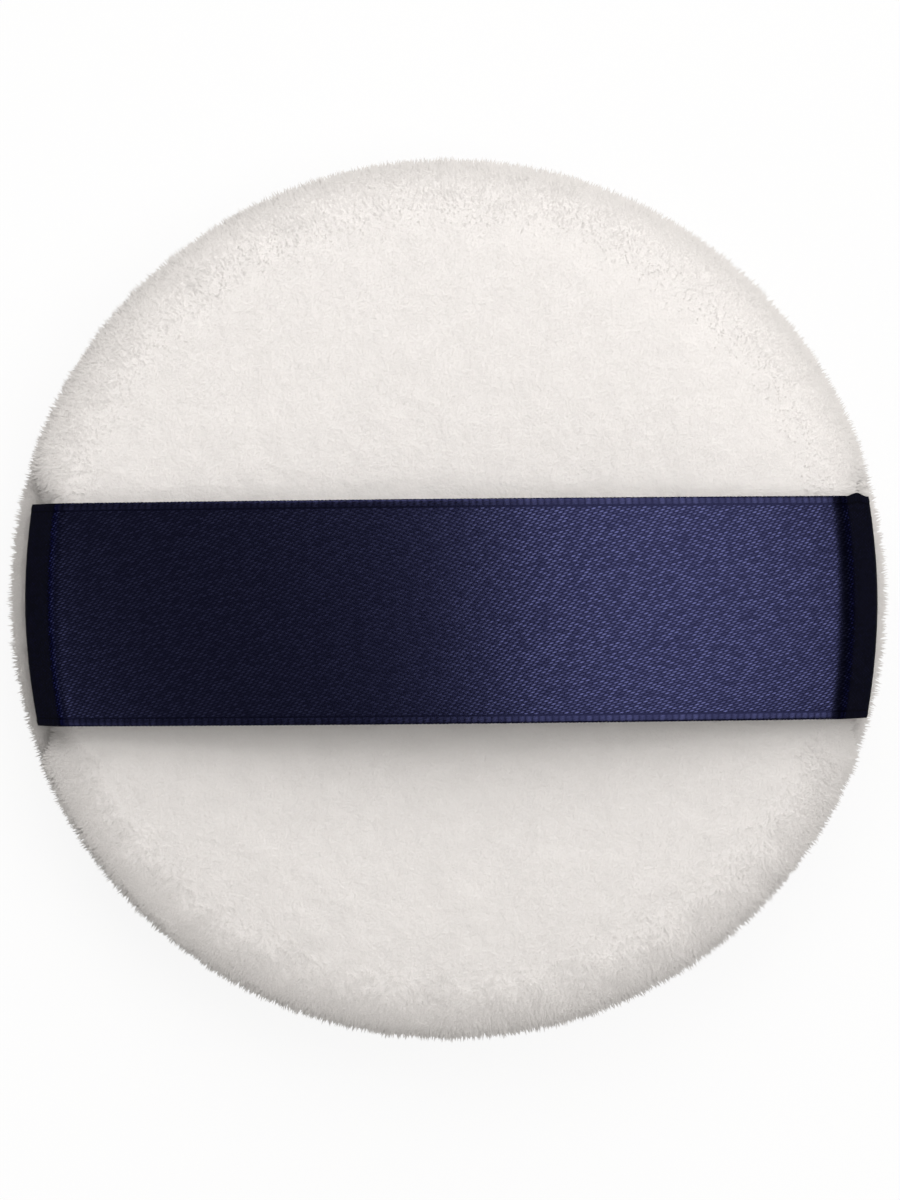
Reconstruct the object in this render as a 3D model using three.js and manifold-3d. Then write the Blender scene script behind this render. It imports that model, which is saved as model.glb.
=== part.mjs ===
// Powder puff: two plush covers sewn edge to edge over a soft filling, with a satin ribbon
// across the back that a finger slides under. Millimetres, +Z up, the puff lying on its face.

import * as THREE from "three";
import { mergeVertices } from "three/addons/utils/BufferGeometryUtils.js";
import Module from "manifold-3d";

// Filling, from the middle outwards
const CORE_THICKNESS = 5;
const CORE_EDGE_ROUND = 1.2;
const BACK_WADDING_THICKNESS = 4.4;
const FACE_WADDING_THICKNESS = 2.4;

// Plush
const BACKING_THICKNESS = 0.6;
const PILE_HEIGHT = 1.6;

// Outer form of the puff, measured over the pile
const PUFF_DIAMETER = 79;
const REST_DIAMETER = 46; // flat middle of the face
const BACK_BULGE = 2.2; // widest line of the back, above the seam
const FACE_BULGE = 2; // widest line of the face, below the seam
const SEAM_DRAW_IN = 1.3; // seam line inside the widest line
const BACK_FULLNESS = 2.6; // power of the crown's curve, where 2 is an ellipse
const FACE_FULLNESS = 2.3;

// Seam
const ALLOWANCE_WIDTH = 3.5; // stitch line to raw edge
const ALLOWANCE_THICKNESS = 0.9; // turned-in plush with its pile pressed flat
const STITCH_TO_WALL = 0.5; // thread to the inside of the rim
const THREAD_DIAMETER = 0.3;
const STITCH_LENGTH = 3;
const STITCH_DIP = 0.12;
const TURNING_GAP = 28; // seam left open for turning and filling, then closed by hand
const CLOSING_STITCH_LENGTH = 2.8;
const CLOSING_STITCH_DIP = 0.15;

// Ribbon strap
const RIBBON_WIDTH = 20;
const RIBBON_THICKNESS = 0.4;
const FINGER_GAP = 5.2; // back's crown to the underside of the strap
const STRAP_RISE = 6.3; // top of the strap above its creases
const STRAP_SIDE_INSET = 0.8; // foot of the strap inside the widest line
const STRAP_CREASE_INSET = 3.3; // crease of the strap inside the widest line
const STRAP_FOOT_HEIGHT = 2.1; // where the side starts to lean in, above the seam
const STRAP_CREASE_ROUND = 1.3;
const STRAP_FOOT_ROUND = 0.9;
const STRAP_OFFSET = -1.1; // strap's centre line from the puff's middle
const STRAP_TURN = 0.55; // degrees, as sewn

// Tacks that hold the strap's tails
const TACK_WIDTH = 14;
const TACK_BAR = 0.4;

// Clearances
const LAYER_GAP = 0.3;
const CORE_TO_ALLOWANCE = 0.4;

// Fineness of the facets
const ROUND_SEGMENTS = 48;
const CROWN_STEPS = 8;
const LINING_STEPS = 5;
const RIM_STEPS = 3;
const EDGE_STEPS = 3;
const RIBBON_ARCH_STEPS = 8;
const RIBBON_BEND_STEPS = 3;
const RIBBON_WIDTH_STEPS = 6;
const THREAD_SIDES = 4;
const STEPS_PER_STITCH = 2;
const STEPS_PER_CLOSING_STITCH = 4;
const WELD_DISTANCE = 1e-3;

// Sizes that follow from these
const COVER_THICKNESS = BACKING_THICKNESS + PILE_HEIGHT;
const PUFF_RADIUS = PUFF_DIAMETER / 2;
const LINING_RADIUS = PUFF_RADIUS - COVER_THICKNESS;
const CORE_TOP = CORE_THICKNESS / 2;
const BACK_HEIGHT = CORE_TOP + BACK_WADDING_THICKNESS + COVER_THICKNESS + 2 * LAYER_GAP;
const FACE_DEPTH = CORE_TOP + FACE_WADDING_THICKNESS + COVER_THICKNESS + 2 * LAYER_GAP;
const SEAM_RADIUS = PUFF_RADIUS - SEAM_DRAW_IN;
const STITCH_RADIUS = LINING_RADIUS - STITCH_TO_WALL - THREAD_DIAMETER / 2;
const RAW_EDGE_RADIUS = STITCH_RADIUS - ALLOWANCE_WIDTH;
const CORE_RADIUS = RAW_EDGE_RADIUS - CORE_TO_ALLOWANCE;
const ALLOWANCE_FACE = LAYER_GAP / 2; // side towards the other cover
const ALLOWANCE_BACK = ALLOWANCE_FACE + ALLOWANCE_THICKNESS;
const TACK_RADIUS = STITCH_RADIUS - ALLOWANCE_WIDTH / 2;
const STRAP_TOP = BACK_HEIGHT + FINGER_GAP + RIBBON_THICKNESS / 2;
const TURNING_ANGLE = TURNING_GAP / STITCH_RADIUS;
const QUARTER = Math.PI / 2;

const PLUSH = { color: 0xf0ebe5, roughness: 0.95, metalness: 0 };
const FOAM = { color: 0xf3ecd8, roughness: 0.9, metalness: 0 };
const WADDING = { color: 0xf7f7f4, roughness: 0.95, metalness: 0 };
const RIBBON = { color: 0x22254a, roughness: 0.42, metalness: 0 };
const THREAD = { color: 0xece8e0, roughness: 0.7, metalness: 0 };
const TACK_THREAD = { color: 0x1b1e3c, roughness: 0.7, metalness: 0 };

const wasm = await Module();
wasm.setup();

// A geometry as a solid that can be cut.
function solidOf(geometry) {
  const bare = new THREE.BufferGeometry();
  bare.setAttribute("position", geometry.getAttribute("position"));
  bare.setIndex(geometry.getIndex());
  const welded = mergeVertices(bare, WELD_DISTANCE);
  const vertProperties = welded.getAttribute("position").array;
  const triVerts = new Uint32Array(welded.getIndex().array);
  return new wasm.Manifold(new wasm.Mesh({ numProp: 3, vertProperties, triVerts }));
}

// A cut solid as a geometry again.
function geometryOf(solid) {
  const mesh = solid.getMesh();
  const geometry = new THREE.BufferGeometry();
  geometry.setAttribute("position", new THREE.BufferAttribute(mesh.vertProperties, 3));
  geometry.setIndex(new THREE.BufferAttribute(mesh.triVerts, 1));
  geometry.computeVertexNormals();
  return geometry;
}

// The geometry with the space of every tool taken out of it.
function cut(geometry, tools) {
  const left = tools.reduce((solid, tool) => solid.subtract(solidOf(tool)), solidOf(geometry));
  return geometryOf(left);
}

// Half a section, from the axis at the top round to the axis at the bottom, turned about Z.
function turned(section) {
  const geometry = new THREE.LatheGeometry([...section].reverse(), ROUND_SEGMENTS);
  return geometry.rotateX(QUARTER);
}

// The same section below the seam.
function mirrored(section) {
  return section.map((point) => new THREE.Vector2(point.x, -point.y)).reverse();
}

// Points of a crowned curve: level out to the flat's edge, then down to the widest line.
function crown({ radius, height, flat, bulge, fullness }, steps) {
  const points = flat > 0 ? [new THREE.Vector2(0, height)] : [];
  for (let step = 0; step <= steps; step += 1) {
    const angle = (QUARTER * step) / steps;
    const outwards = Math.sin(angle) ** (2 / fullness);
    const upwards = Math.cos(angle);
    const across = flat + (radius - flat) * outwards;
    points.push(new THREE.Vector2(across, bulge + (height - bulge) * upwards));
  }
  return points;
}

// The crown as it runs a depth further inside the puff.
function inside(form, depth) {
  return { ...form, radius: form.radius - depth, height: form.height - depth };
}

const BACK_FORM = {
  radius: PUFF_RADIUS,
  height: BACK_HEIGHT,
  flat: 0,
  bulge: BACK_BULGE,
  fullness: BACK_FULLNESS,
};
const FACE_FORM = {
  radius: PUFF_RADIUS,
  height: FACE_DEPTH,
  flat: REST_DIAMETER / 2,
  bulge: FACE_BULGE,
  fullness: FACE_FULLNESS,
};

// Radius in the seam's groove at which the rim of a cover lies a height away from the seam.
function grooveRadius(form, height) {
  const turn = (form.bulge - height) / (form.bulge - ALLOWANCE_FACE);
  return SEAM_RADIUS + SEAM_DRAW_IN * Math.sqrt(1 - turn ** 2);
}

// Section of a cover above the seam: crown, rim drawn in to the seam, and turned-in allowance.
function coverSection(form) {
  const section = crown(form, CROWN_STEPS);
  for (let step = 1; step <= RIM_STEPS; step += 1) {
    const radius = SEAM_RADIUS + SEAM_DRAW_IN * Math.cos((QUARTER * step) / RIM_STEPS);
    const turn = Math.sin((QUARTER * step) / RIM_STEPS);
    section.push(new THREE.Vector2(radius, form.bulge - (form.bulge - ALLOWANCE_FACE) * turn));
  }
  section.push(new THREE.Vector2(RAW_EDGE_RADIUS, ALLOWANCE_FACE));
  section.push(new THREE.Vector2(RAW_EDGE_RADIUS, ALLOWANCE_BACK));
  section.push(new THREE.Vector2(LINING_RADIUS, ALLOWANCE_BACK));
  return section.concat(crown(inside(form, COVER_THICKNESS), LINING_STEPS).reverse());
}

// Section of the wadding between the core and a cover, above the seam.
function waddingSection(form) {
  const room = inside(form, COVER_THICKNESS + LAYER_GAP);
  const seat = CORE_TOP + LAYER_GAP;
  const wallFoot = new THREE.Vector2(room.radius, 0);
  const outline = [...crown(room, LINING_STEPS), wallFoot];
  const above = outline.filter((point) => point.y > seat);
  const last = above.at(-1);
  const next = outline[above.length];
  const edge = last.clone().lerp(next, (last.y - seat) / (last.y - next.y));
  return [...above, edge, new THREE.Vector2(0, seat)];
}

// Section of the die-cut core, with its edges pressed round.
function coreSection() {
  const section = [new THREE.Vector2(0, CORE_TOP)];
  for (const side of [1, -1]) {
    for (let step = 0; step <= EDGE_STEPS; step += 1) {
      const angle = side * QUARTER * (1 - (side > 0 ? step : EDGE_STEPS - step) / EDGE_STEPS);
      const across = CORE_RADIUS - CORE_EDGE_ROUND * (1 - Math.cos(angle));
      const up = side * (CORE_TOP - CORE_EDGE_ROUND) + CORE_EDGE_ROUND * Math.sin(angle);
      section.push(new THREE.Vector2(across, up));
    }
  }
  section.push(new THREE.Vector2(0, -CORE_TOP));
  return section;
}

// Half of the strap's centre line, from its top to the end of its tail in the seam.
function strapHalf(tailEnd) {
  const side = PUFF_RADIUS - STRAP_SIDE_INSET;
  const crease = new THREE.Vector2(PUFF_RADIUS - STRAP_CREASE_INSET, STRAP_TOP - STRAP_RISE);
  const foot = new THREE.Vector2(side, STRAP_FOOT_HEIGHT);
  const downSide = foot.clone().sub(crease).normalize();
  const upArch = new THREE.Vector2(-crease.x / 2, STRAP_RISE).normalize();
  const archEnd = crease.clone().addScaledVector(upArch, STRAP_CREASE_ROUND);
  const sideStart = crease.clone().addScaledVector(downSide, STRAP_CREASE_ROUND);
  const sideEnd = foot.clone().addScaledVector(downSide, -STRAP_FOOT_ROUND);
  const half = new THREE.Path();
  half.moveTo(0, STRAP_TOP);
  half.quadraticCurveTo(crease.x / 2, STRAP_TOP, archEnd.x, archEnd.y);
  half.quadraticCurveTo(crease.x, crease.y, sideStart.x, sideStart.y);
  half.lineTo(sideEnd.x, sideEnd.y);
  half.quadraticCurveTo(foot.x, foot.y, side, STRAP_FOOT_ROUND);
  half.quadraticCurveTo(side, 0, side - STRAP_FOOT_ROUND, 0);
  half.lineTo(tailEnd, 0);
  const [arch, ...bends] = half.curves;
  const bendPoints = bends.flatMap((curve) => {
    const steps = curve.isLineCurve ? 1 : RIBBON_BEND_STEPS;
    return curve.getPoints(steps).slice(1);
  });
  return [...arch.getPoints(RIBBON_ARCH_STEPS), ...bendPoints];
}

// The strap's centre line, from tail to tail.
function strapLine(tailEnd) {
  const right = strapHalf(tailEnd);
  const left = right.slice(1).map((point) => new THREE.Vector2(-point.x, point.y));
  return [...left.reverse(), ...right];
}

// A line moved sideways, outwards from the puff where the distance is positive.
function beside(line, distance) {
  return line.map((point, index) => {
    const before = line[Math.max(index - 1, 0)];
    const after = line[Math.min(index + 1, line.length - 1)];
    const along = after.clone().sub(before).normalize();
    return new THREE.Vector2(point.x - distance * along.y, point.y + distance * along.x);
  });
}

// Side view of the strap.
function strapOutline() {
  const line = strapLine(RAW_EDGE_RADIUS);
  const inner = beside(line, -RIBBON_THICKNESS / 2);
  const outer = beside(line, RIBBON_THICKNESS / 2);
  return new THREE.Shape([...inner, ...outer.reverse()]);
}

// Side view of the room that the plush leaves the strap: a pocket for each tail in the seam,
// and all that lies outside the strap's inner face.
function strapRoomOutline() {
  const reach = RIBBON_THICKNESS / 2 + LAYER_GAP;
  const tailEnd = RAW_EDGE_RADIUS - LAYER_GAP;
  const inner = beside(strapLine(tailEnd), -reach);
  const around = [
    new THREE.Vector2(tailEnd, -reach),
    new THREE.Vector2(PUFF_DIAMETER, -reach),
    new THREE.Vector2(PUFF_DIAMETER, PUFF_DIAMETER),
  ];
  const mirroredAround = around.map((point) => new THREE.Vector2(-point.x, point.y));
  return new THREE.Shape([...inner, ...around, ...mirroredAround.reverse()]);
}

// Places a piece of the strap where the strap is sewn: a little off the middle and turned.
function asSewn(geometry) {
  const turn = THREE.MathUtils.degToRad(STRAP_TURN);
  return geometry.translate(0, STRAP_OFFSET, 0).rotateZ(turn);
}

// A side view drawn out across the puff, with its ends following the round seam.
function acrossPuff(outline, width) {
  const settings = { depth: width, steps: RIBBON_WIDTH_STEPS, bevelEnabled: false };
  const geometry = new THREE.ExtrudeGeometry(outline, settings);
  geometry.rotateX(QUARTER).translate(0, width / 2, 0);
  const position = geometry.getAttribute("position");
  for (let index = 0; index < position.count; index += 1) {
    const across = (position.getY(index) + STRAP_OFFSET) / SEAM_RADIUS;
    position.setX(index, position.getX(index) * Math.sqrt(1 - across ** 2));
  }
  return asSewn(geometry);
}

// A tack: a bar of thread over the allowances and one under them, joined through the tail.
function tack(side) {
  const room = ALLOWANCE_BACK + LAYER_GAP;
  const rectangle = (halfWidth, halfHeight) => [
    new THREE.Vector2(-halfWidth, -halfHeight),
    new THREE.Vector2(halfWidth, -halfHeight),
    new THREE.Vector2(halfWidth, halfHeight),
    new THREE.Vector2(-halfWidth, halfHeight),
  ];
  const loop = new THREE.Shape(rectangle(TACK_WIDTH / 2, room + TACK_BAR));
  loop.holes.push(new THREE.Path(rectangle(TACK_WIDTH / 2 - TACK_BAR, room).reverse()));
  const geometry = new THREE.ExtrudeGeometry(loop, { depth: TACK_BAR, bevelEnabled: false });
  geometry.rotateX(QUARTER).rotateZ(QUARTER);
  return asSewn(geometry.translate(side * TACK_RADIUS - TACK_BAR / 2, 0, 0));
}

// The two slots that a tack's legs pass through.
function tackSlots(side) {
  const width = TACK_BAR + 2 * LAYER_GAP;
  const height = 2 * (ALLOWANCE_BACK + LAYER_GAP);
  return [-1, 1].map((end) => {
    const slot = new THREE.BoxGeometry(width, width, height);
    const across = (end * (TACK_WIDTH - TACK_BAR)) / 2;
    return asSewn(slot.translate(side * TACK_RADIUS, across, 0));
  });
}

// A line of stitches round the puff: each stitch rises and dips once.
class StitchLine extends THREE.Curve {
  constructor(radius, height, dip, from, to, stitches) {
    super();
    Object.assign(this, { radius, height, dip, from, to, stitches });
  }

  getPoint(share, target = new THREE.Vector3()) {
    const angle = THREE.MathUtils.lerp(this.from, this.to, share);
    const wave = Math.cos(2 * Math.PI * this.stitches * share);
    const height = this.height + this.dip * wave;
    return target.set(this.radius * Math.cos(angle), this.radius * Math.sin(angle), height);
  }

  // Points are spaced evenly round the puff, not along the dips.
  getUtoTmapping(share) {
    return share;
  }
}

// Thread along a line of stitches.
function sewn(line, stepsPerStitch) {
  const corners = Array.from({ length: THREAD_SIDES }, (_, side) => {
    const angle = (2 * Math.PI * side) / THREAD_SIDES;
    const direction = new THREE.Vector2(Math.cos(angle), Math.sin(angle));
    return direction.multiplyScalar(THREAD_DIAMETER / 2);
  });
  const steps = line.stitches * stepsPerStitch;
  return new THREE.ExtrudeGeometry(new THREE.Shape(corners), { steps, extrudePath: line });
}

// One thread of the seam, above or below the allowances, open at the turning gap.
function seamThread(side) {
  const from = QUARTER + TURNING_ANGLE / 2;
  const to = from + 2 * Math.PI - TURNING_ANGLE;
  const stitches = Math.round(((to - from) * STITCH_RADIUS) / STITCH_LENGTH);
  const height = ALLOWANCE_BACK + LAYER_GAP + THREAD_DIAMETER / 2 + STITCH_DIP;
  const line = new StitchLine(STITCH_RADIUS, side * height, STITCH_DIP, from, to, stitches);
  return sewn(line, STEPS_PER_STITCH);
}

// The hand-sewn stitch that closes the turning gap, as deep in the seam's groove as it fits.
function closingStitch() {
  const room = CLOSING_STITCH_DIP + THREAD_DIAMETER / 2 + LAYER_GAP;
  const bottom = Math.max(grooveRadius(BACK_FORM, room), grooveRadius(FACE_FORM, room));
  const radius = bottom + THREAD_DIAMETER / 2;
  const from = QUARTER - TURNING_ANGLE / 2;
  const to = QUARTER + TURNING_ANGLE / 2;
  const stitches = Math.round(TURNING_GAP / CLOSING_STITCH_LENGTH);
  const line = new StitchLine(radius, 0, CLOSING_STITCH_DIP, from, to, stitches);
  return sewn(line, STEPS_PER_CLOSING_STITCH);
}

// A named piece with its own finish.
function piece(name, geometry, finish) {
  const mesh = new THREE.Mesh(geometry, new THREE.MeshStandardMaterial(finish));
  mesh.name = name;
  return mesh;
}

function covers() {
  const group = new THREE.Group();
  const strapRoom = acrossPuff(strapRoomOutline(), RIBBON_WIDTH + 2 * LAYER_GAP);
  const room = [strapRoom, ...tackSlots(-1), ...tackSlots(1)];
  const back = turned(coverSection(BACK_FORM));
  const face = turned(mirrored(coverSection(FACE_FORM)));
  group.add(piece("back_cover", cut(back, room), PLUSH));
  group.add(piece("face_cover", cut(face, room), PLUSH));
  return group;
}

function filling() {
  const group = new THREE.Group();
  group.add(piece("foam_core", turned(coreSection()), FOAM));
  group.add(piece("back_wadding", turned(waddingSection(BACK_FORM)), WADDING));
  group.add(piece("face_wadding", turned(mirrored(waddingSection(FACE_FORM))), WADDING));
  return group;
}

function seam() {
  const group = new THREE.Group();
  group.add(piece("needle_thread", seamThread(1), THREAD));
  group.add(piece("bobbin_thread", seamThread(-1), THREAD));
  group.add(piece("closing_stitch", closingStitch(), THREAD));
  return group;
}

function strap() {
  const group = new THREE.Group();
  const ribbon = acrossPuff(strapOutline(), RIBBON_WIDTH);
  const slots = [...tackSlots(-1), ...tackSlots(1)];
  group.add(piece("finger_strap", cut(ribbon, slots), RIBBON));
  group.add(piece("left_strap_tack", tack(-1), TACK_THREAD));
  group.add(piece("right_strap_tack", tack(1), TACK_THREAD));
  return group;
}

const puff = new THREE.Group();
puff.add(covers(), filling(), seam(), strap());
puff.position.z = FACE_DEPTH;

export default puff;
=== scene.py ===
"""Looks of a round plush powder puff with a satin ribbon strap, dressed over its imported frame."""

import logging
import math
from dataclasses import dataclass, field
from enum import Enum
from itertools import accumulate
from typing import Any, Sequence

import bmesh
import bpy
from mathutils import Matrix, Vector, noise


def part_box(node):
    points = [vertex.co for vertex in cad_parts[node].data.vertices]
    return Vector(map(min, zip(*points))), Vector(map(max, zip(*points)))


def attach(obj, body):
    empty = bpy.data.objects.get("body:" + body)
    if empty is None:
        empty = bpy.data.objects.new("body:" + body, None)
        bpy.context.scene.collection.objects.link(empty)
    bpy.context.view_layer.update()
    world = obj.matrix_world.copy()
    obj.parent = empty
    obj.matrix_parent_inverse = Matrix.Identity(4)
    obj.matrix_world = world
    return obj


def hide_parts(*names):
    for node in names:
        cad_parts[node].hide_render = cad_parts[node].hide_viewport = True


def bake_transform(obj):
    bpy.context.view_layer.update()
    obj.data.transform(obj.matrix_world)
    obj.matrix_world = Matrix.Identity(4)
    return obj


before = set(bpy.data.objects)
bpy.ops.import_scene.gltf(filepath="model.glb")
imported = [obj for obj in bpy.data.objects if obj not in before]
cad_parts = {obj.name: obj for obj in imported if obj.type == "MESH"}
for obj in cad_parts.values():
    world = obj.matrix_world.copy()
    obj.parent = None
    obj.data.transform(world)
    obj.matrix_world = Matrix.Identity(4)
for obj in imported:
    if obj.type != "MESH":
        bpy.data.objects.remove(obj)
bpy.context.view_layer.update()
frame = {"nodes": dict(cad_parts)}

MM = 0.001
MERGE_DISTANCE = 1e-7
HUMP_SCALE = 4.0
BAKE_MAP = "OFBake"
REACH = "reach"
# Nearness to the puff's edge or the seam's groove, which sets the velour's painted shade.
EDGE = "edge"
LOG = logging.getLogger("powder_puff")

Colour = tuple[float, float, float]
Place = tuple[float, float, float]
BLACK: Colour = (0.0, 0.0, 0.0)
WHITE: Colour = (1.0, 1.0, 1.0)


class Wire:
    """An output socket of a node, on which Python arithmetic adds Math or Vector Math nodes."""

    def __init__(self, graph: "Graph", socket: bpy.types.NodeSocket) -> None:
        """Hold a socket and the graph that it belongs to."""
        self.graph = graph
        self.socket = socket

    def out(self, name: str) -> "Wire":
        """Give another output of the same node."""
        return Wire(self.graph, self.graph.socket(self.socket.node.outputs, name))

    def _join(self, operation: str, first: "Wire | float", second: "Wire | float") -> "Wire":
        """Add the node that joins two operands."""
        kind = "ShaderNodeVectorMath" if self.socket.type == "VECTOR" else "ShaderNodeMath"
        return self.graph.node(kind, {"operation": operation}, {0: first, 1: second})

    def __add__(self, other: "Wire | float") -> "Wire":
        """Add an operand."""
        return self._join("ADD", self, other)

    def __radd__(self, other: float) -> "Wire":
        """Add this to a number."""
        return self._join("ADD", other, self)

    def __sub__(self, other: "Wire | float") -> "Wire":
        """Take an operand away."""
        return self._join("SUBTRACT", self, other)

    def __rsub__(self, other: float) -> "Wire":
        """Take this away from a number."""
        return self._join("SUBTRACT", other, self)

    def __mul__(self, other: "Wire | float") -> "Wire":
        """Multiply by an operand."""
        return self._join("MULTIPLY", self, other)

    def __rmul__(self, other: float) -> "Wire":
        """Multiply a number by this."""
        return self._join("MULTIPLY", other, self)


class Graph:
    """A node tree, to which one method adds nodes with their settings and links."""

    def __init__(self, tree: bpy.types.NodeTree) -> None:
        """Hold the tree."""
        self.tree = tree

    @staticmethod
    def socket(sockets: Any, key: "str | int") -> bpy.types.NodeSocket:
        """Find a socket that is in use among a node's inputs or outputs, by its name or its place."""
        used = [each for each in sockets if each.enabled]
        return used[key] if isinstance(key, int) else next(each for each in used if each.name == key)

    def node(
        self,
        kind: str,
        settings: "dict[str, Any] | None" = None,
        inputs: "dict[str | int, Any] | None" = None,
        output: "str | int" = 0,
    ) -> Wire:
        """Add a node.

        Args:
            kind: Type name of the node.
            settings: The node's own settings, which are set first.
            inputs: Value or wire for each socket, by name or place.
            output: Name or place of the output to give back.

        Returns:
            The chosen output.
        """
        made = self.tree.nodes.new(kind)
        for name, value in (settings or {}).items():
            setattr(made, name, value)
        for key, value in (inputs or {}).items():
            target = self.socket(made.inputs, key)
            if isinstance(value, Wire):
                self.tree.links.new(value.socket, target)
            elif target.type == "RGBA":
                target.default_value = (*value, 1.0)
            elif target.type == "VECTOR" and isinstance(value, (int, float)):
                target.default_value = (value, value, value)
            else:
                target.default_value = value
        return Wire(self, self.socket(made.outputs, output) if made.outputs else None)

    def math(self, operation: str, *operands: "Wire | float") -> Wire:
        """Add a Math node for what Python has no operator for."""
        return self.node("ShaderNodeMath", {"operation": operation}, dict(enumerate(operands)))

    def split(self, vector: Wire) -> tuple[Wire, Wire, Wire]:
        """Give the three parts of a vector."""
        first = self.node("ShaderNodeSeparateXYZ", {}, {"Vector": vector}, "X")
        return first, first.out("Y"), first.out("Z")

    def joined(self, **parts: "Wire | float") -> Wire:
        """Join parts that are named X, Y and Z to a vector."""
        return self.node("ShaderNodeCombineXYZ", {}, parts)

    def mix(self, factor: Wire, first: "Wire | Colour", second: "Wire | Colour") -> Wire:
        """Mix two colours by the second one's share."""
        inputs = {"Factor": factor, "A": first, "B": second}
        return self.node("ShaderNodeMix", {"data_type": "RGBA"}, inputs)

    def noise(self, place: Wire, size: float) -> Wire:
        """Add a noise pattern with patches of a given size, from 0 to 1 and mostly near a half."""
        return self.node("ShaderNodeTexNoise", {}, {"Vector": place, "Scale": 1 / size})

    def bump(self, height: Wire, depth: float) -> Wire:
        """Turn a height, of which 1 is a given depth in metres, into a bent normal."""
        return self.node("ShaderNodeBump", {}, {"Height": height, "Distance": depth})

    def coordinates(self) -> Wire:
        """Give the object's own coordinates, in metres."""
        return self.node("ShaderNodeTexCoord", output="Object")


def hump(share: Wire) -> Wire:
    """Turn a value that runs from 0 to 1 into a hump, which is 1 in the middle and 0 at both ends."""
    return share * (1 - share) * HUMP_SCALE


def spread(value: Wire, lowest: float) -> Wire:
    """Squeeze a value from 0..1 to what lies between a lowest value and 1."""
    return value * (1 - lowest) + lowest


def darker(colour: Colour, share: float) -> Colour:
    """Give a share of a colour."""
    return tuple(part * share for part in colour)


def new_material(name: str) -> tuple[bpy.types.Material, Graph]:
    """Make an empty node material.

    Args:
        name: Name of the material.

    Returns:
        The material and the graph of its nodes.
    """
    material = bpy.data.materials.new(name)
    material.use_nodes = True
    material.node_tree.nodes.clear()
    return material, Graph(material.node_tree)


def finish_surface(graph: Graph, inputs: dict[str, Any]) -> None:
    """Add a surface shader with its sockets' values, and connect it to the output."""
    shader = graph.node("ShaderNodeBsdfPrincipled", {}, inputs)
    graph.node("ShaderNodeOutputMaterial", {}, {"Surface": shader})


@dataclass(frozen=True)
class PlushFinish:
    """Short warm-white velour: a dense ground of pile and its loose tips."""

    tip: Colour = (0.905, 0.88, 0.86)
    # Colour of the roots, which holds painted shade: the dark end that the tips' roots and the shaded edge
    # go towards.
    root: Colour = (0.55, 0.535, 0.515)
    # Painted shade: how far the colour goes towards the root colour at the puff's edge and in the seam's
    # groove.
    painted_edge_shade: float = 0.47
    ground_tone: float = 0.59
    clump_size: float = 2.4 * MM
    clump_tone: float = 0.19
    clump_relief: float = 0.85
    fibre_size: float = 0.25 * MM
    fibre_tone: float = 0.14
    fibre_relief: float = 0.15
    relief: float = 0.3 * MM
    painted_root_shade: float = 0.14
    roughness: float = 0.92
    specular: float = 0.2
    sheen: float = 0.4
    sheen_roughness: float = 0.45

    def _shade(self, graph: Graph, tone: Wire, **more: Any) -> None:
        """Finish a plush material.

        Args:
            graph: Graph of the material.
            tone: 0 for the shaded colour of the roots, 1 for that of the tips.
            **more: Further sockets of the shader.
        """
        finish_surface(graph, {
            "Base Color": graph.mix(tone, self.root, self.tip),
            "Roughness": self.roughness,
            "Specular IOR Level": self.specular,
            "Sheen Weight": self.sheen,
            "Sheen Roughness": self.sheen_roughness,
            **more,
        })

    def ground(self) -> bpy.types.Material:
        """Make the finish of the dense pile below the tips, with painted shade towards the puff's edge and
        in the seam's groove.

        Returns:
            The material.
        """
        material, graph = new_material("Velour ground")
        place = graph.coordinates()
        clumps = graph.noise(place, self.clump_size)
        fibres = graph.noise(place, self.fibre_size)
        edge = graph.node("ShaderNodeAttribute", {"attribute_name": EDGE}, output="Fac")
        tone = clumps * self.clump_tone + fibres * self.fibre_tone + self.ground_tone
        height = clumps * self.clump_relief + fibres * self.fibre_relief
        # Painted shade: the ground's colour goes towards the root colour near the edge and in the seam's
        # groove.
        self._shade(graph, tone * (1 - edge * self.painted_edge_shade), Normal=graph.bump(height, self.relief))
        return material

    def tips(self) -> bpy.types.Material:
        """Make the finish of the loose tips, whose map holds each tip's tone and its length, with painted
        shade darkening each tip towards its root.

        Returns:
            The material.
        """
        material, graph = new_material("Velour tips")
        tone, along, _ = graph.split(graph.node("ShaderNodeUVMap", {"uv_map": BAKE_MAP}))
        # Painted shade: each tip is darker towards its root, where the fibres shade each other.
        self._shade(graph, tone + along * self.painted_root_shade)
        return material


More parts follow.
